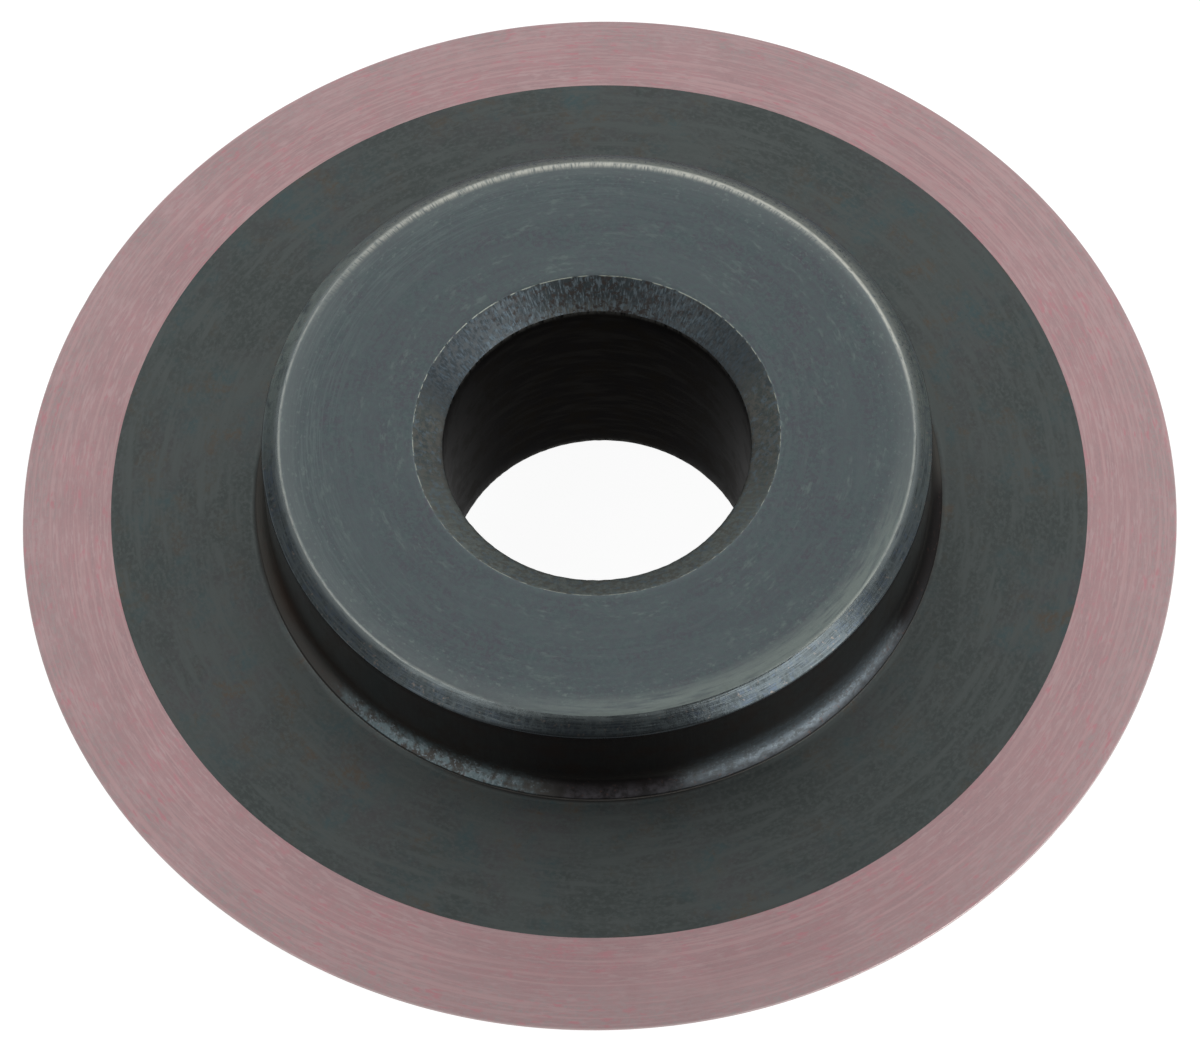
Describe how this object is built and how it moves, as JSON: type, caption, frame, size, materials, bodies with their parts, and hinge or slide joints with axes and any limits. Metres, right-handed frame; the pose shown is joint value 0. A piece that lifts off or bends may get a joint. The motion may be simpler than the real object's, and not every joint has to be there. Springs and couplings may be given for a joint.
{
  "type": "pipe cutter wheel",
  "caption": "Round pipe cutter wheel with a sharp bevelled edge, a chamfered hub on both sides and a countersunk bore for its pin.",
  "frame": {"origin": "centre of the bore, in the plane of the cutting edge", "axes": "+Z along the bore's axis; the wheel lies on its lower hub face and is the same on both sides"},
  "size_m": [0.019, 0.019, 0.005],
  "materials": {
    "blackened_steel": "blackened, with both bevels ground bare"
  },
  "bodies": {
    "root": {"cutter_wheel": "blackened_steel"}
  },
  "joints": []
}
